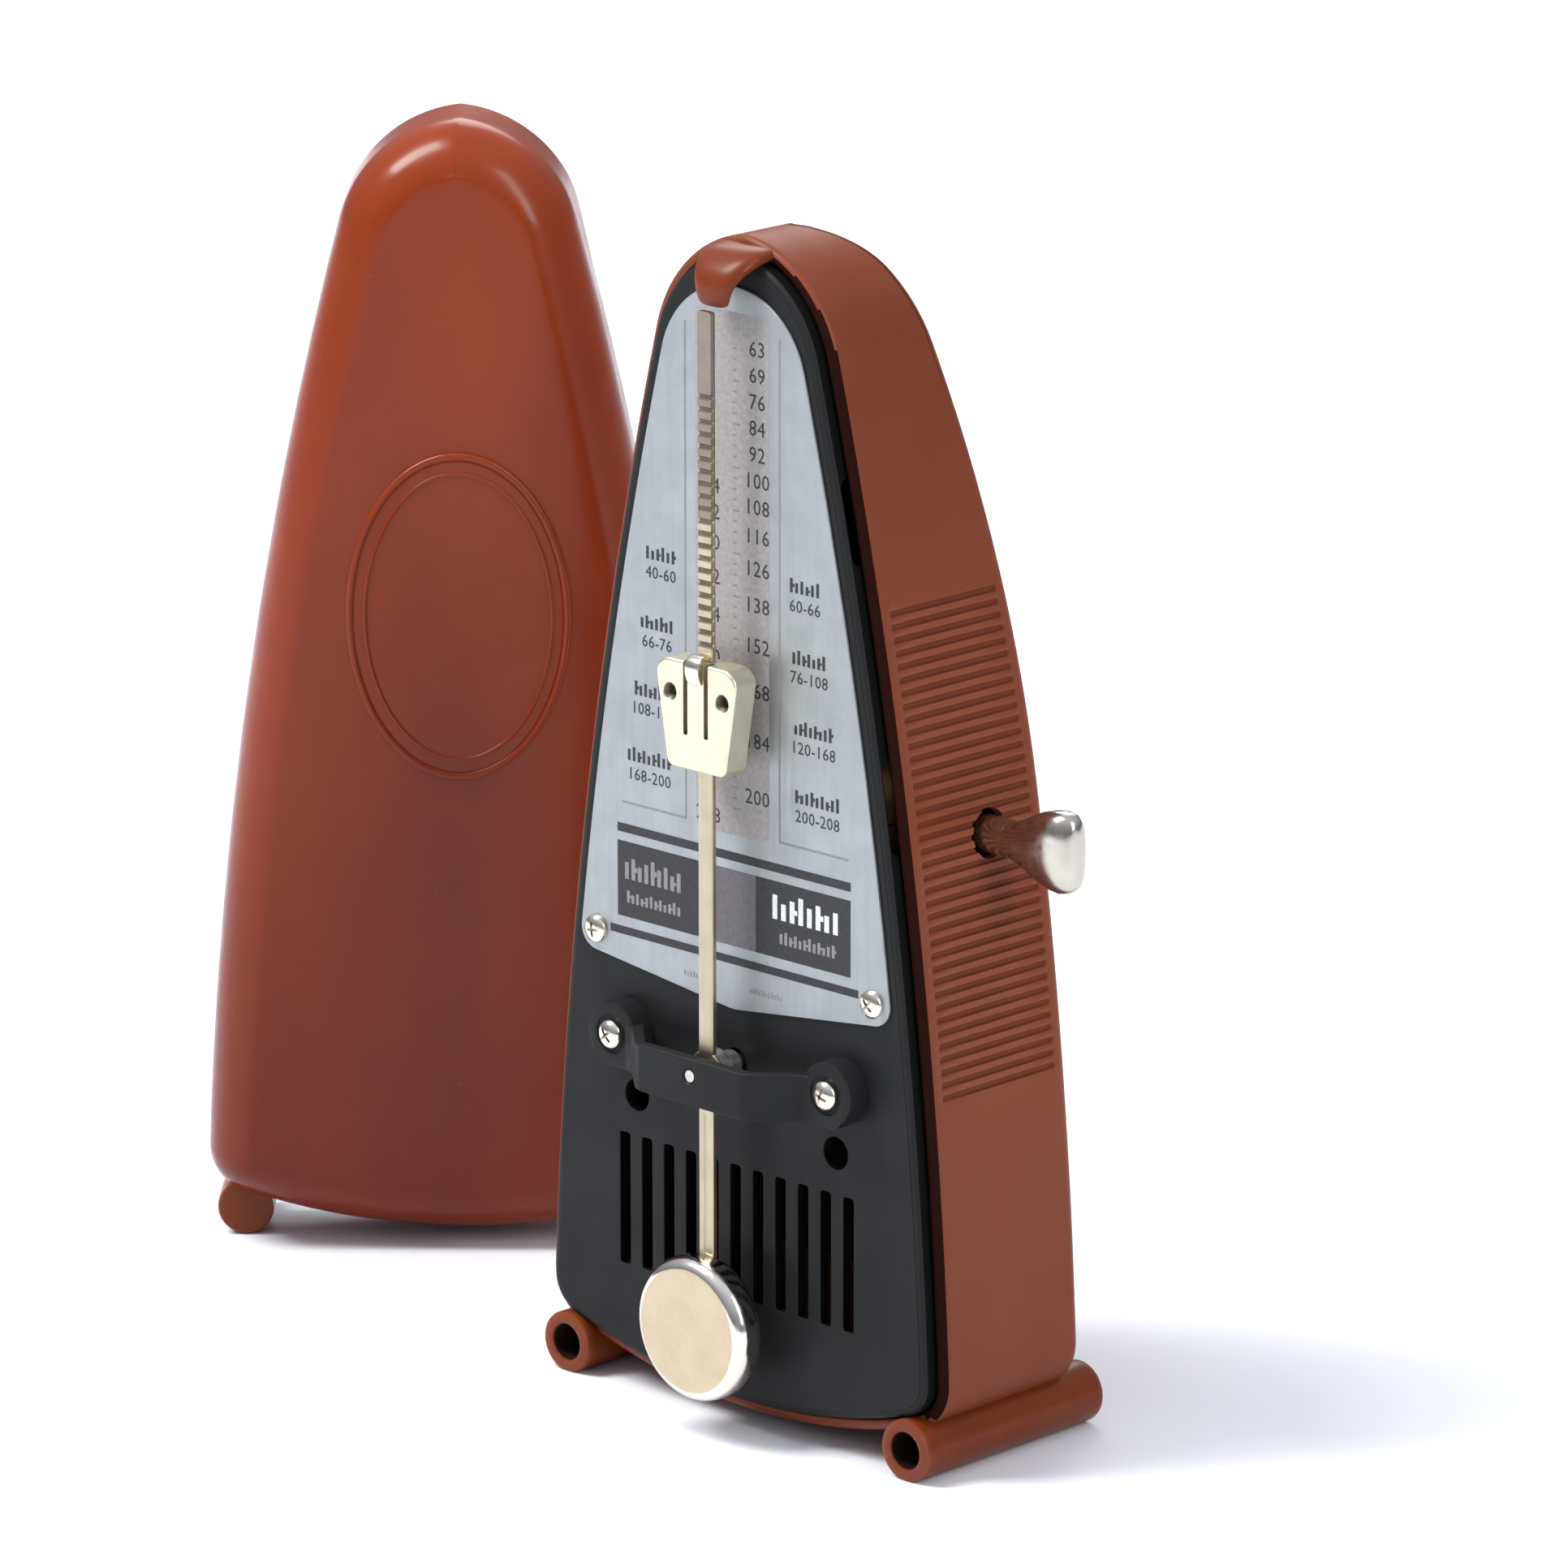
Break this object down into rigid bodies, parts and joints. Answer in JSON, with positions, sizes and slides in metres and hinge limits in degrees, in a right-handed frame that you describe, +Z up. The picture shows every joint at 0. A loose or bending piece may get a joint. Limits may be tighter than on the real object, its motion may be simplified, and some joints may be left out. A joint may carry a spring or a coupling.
{
  "type": "metronome",
  "caption": "Small wind-up pendulum metronome with a tapered plastic case, printed scale plate, sliding weight, side winding key and a domed lift-off cover standing beside it.",
  "frame": {"origin": "on the table, midway between the two foot rails and midway along them", "axes": "+Z up, -Y towards the front of the metronome (the side with the scale and the rod), +X towards the winding key, to the viewer's right"},
  "size_m": [0.1618, 0.0732, 0.16],
  "materials": {
    "brown_plastic": "satin moulded",
    "brown_gloss": "glossy moulded",
    "black_plastic": "satin",
    "scale_metal": "satin, printed",
    "nickel_screws": "polished",
    "movement_brass": "rolled",
    "movement_steel": "brushed",
    "key_chrome": "polished",
    "nickel_rod": "plated, brushed",
    "bob_plated": "plated, brushed",
    "slider_alloy": "plated"
  },
  "bodies": {
    "case": {"case_shell": "brown_plastic", "front_panel": "black_plastic", "scale_plate": "scale_metal", "scale_plate_screws": "nickel_screws", "pivot_bridge": "black_plastic", "bridge_screws": "nickel_screws", "rear_screws": "nickel_screws", "movement_plate_left": "movement_brass", "movement_plate_right": "movement_brass", "movement_pillars": "movement_brass", "pillar_screws": "movement_steel", "rear_cock": "movement_brass", "cock_screws": "movement_steel", "mainspring": "movement_steel"},
    "winding": {"mainspring_arbor": "movement_steel", "ratchet_wheel": "movement_steel", "winding_key": "key_chrome", "great_wheel_washer": "movement_brass"},
    "first_wheel": {"great_wheel": "movement_brass", "click": "movement_steel", "click_screw": "movement_steel", "click_spring": "movement_steel"},
    "intermediate": {"intermediate_arbor": "movement_steel", "intermediate_wheel": "movement_brass"},
    "escape": {"escape_arbor": "movement_steel", "escape_wheel": "movement_brass"},
    "pendulum": {"pendulum_arbor": "movement_steel", "pallet_fork": "movement_steel", "rod_hub": "movement_steel", "pendulum_rod": "nickel_rod", "bob_weight": "bob_plated"},
    "slider": {"sliding_weight": "slider_alloy", "weight_spring": "movement_steel"},
    "cover": {"cover_shell": "brown_gloss", "cover_pegs": "brown_plastic", "cover_medallion": "brown_gloss"}
  },
  "joints": [
    {"name": "key_turn", "type": "hinge", "parent": "case", "child": "winding", "pos_m": [0, 0.001, 0.0833], "axis": [1, 0, 0], "continuous": true},
    {"name": "first_wheel_turn", "type": "hinge", "parent": "case", "child": "first_wheel", "pos_m": [0, 0.001, 0.0833], "axis": [1, 0, 0], "continuous": true},
    {"name": "intermediate_turn", "type": "hinge", "parent": "case", "child": "intermediate", "pos_m": [0, 0.001, 0.07385], "axis": [1, 0, 0], "continuous": true},
    {"name": "escape_turn", "type": "hinge", "parent": "case", "child": "escape", "pos_m": [0, 0.001, 0.0644], "axis": [1, 0, 0], "continuous": true},
    {"name": "pendulum_swing", "type": "hinge", "parent": "case", "child": "pendulum", "pos_m": [0, 0, 0.05], "axis": [0, 1, 0], "range_deg": [-22, 22]},
    {"name": "weight_slide", "type": "slide", "parent": "pendulum", "child": "slider", "axis": [0, 0, 1], "range_m": [-0.012, 0.044]},
    {"name": "cover_lift", "type": "slide", "parent": "case", "child": "cover", "axis": [0, 0, 1], "range_m": [0, 0.18]}
  ],
  "couplings": [
    {"joint": "first_wheel_turn", "follows": "key_turn", "ratio": 1},
    {"joint": "intermediate_turn", "follows": "key_turn", "ratio": -3.2},
    {"joint": "escape_turn", "follows": "key_turn", "ratio": 10.24}
  ]
}
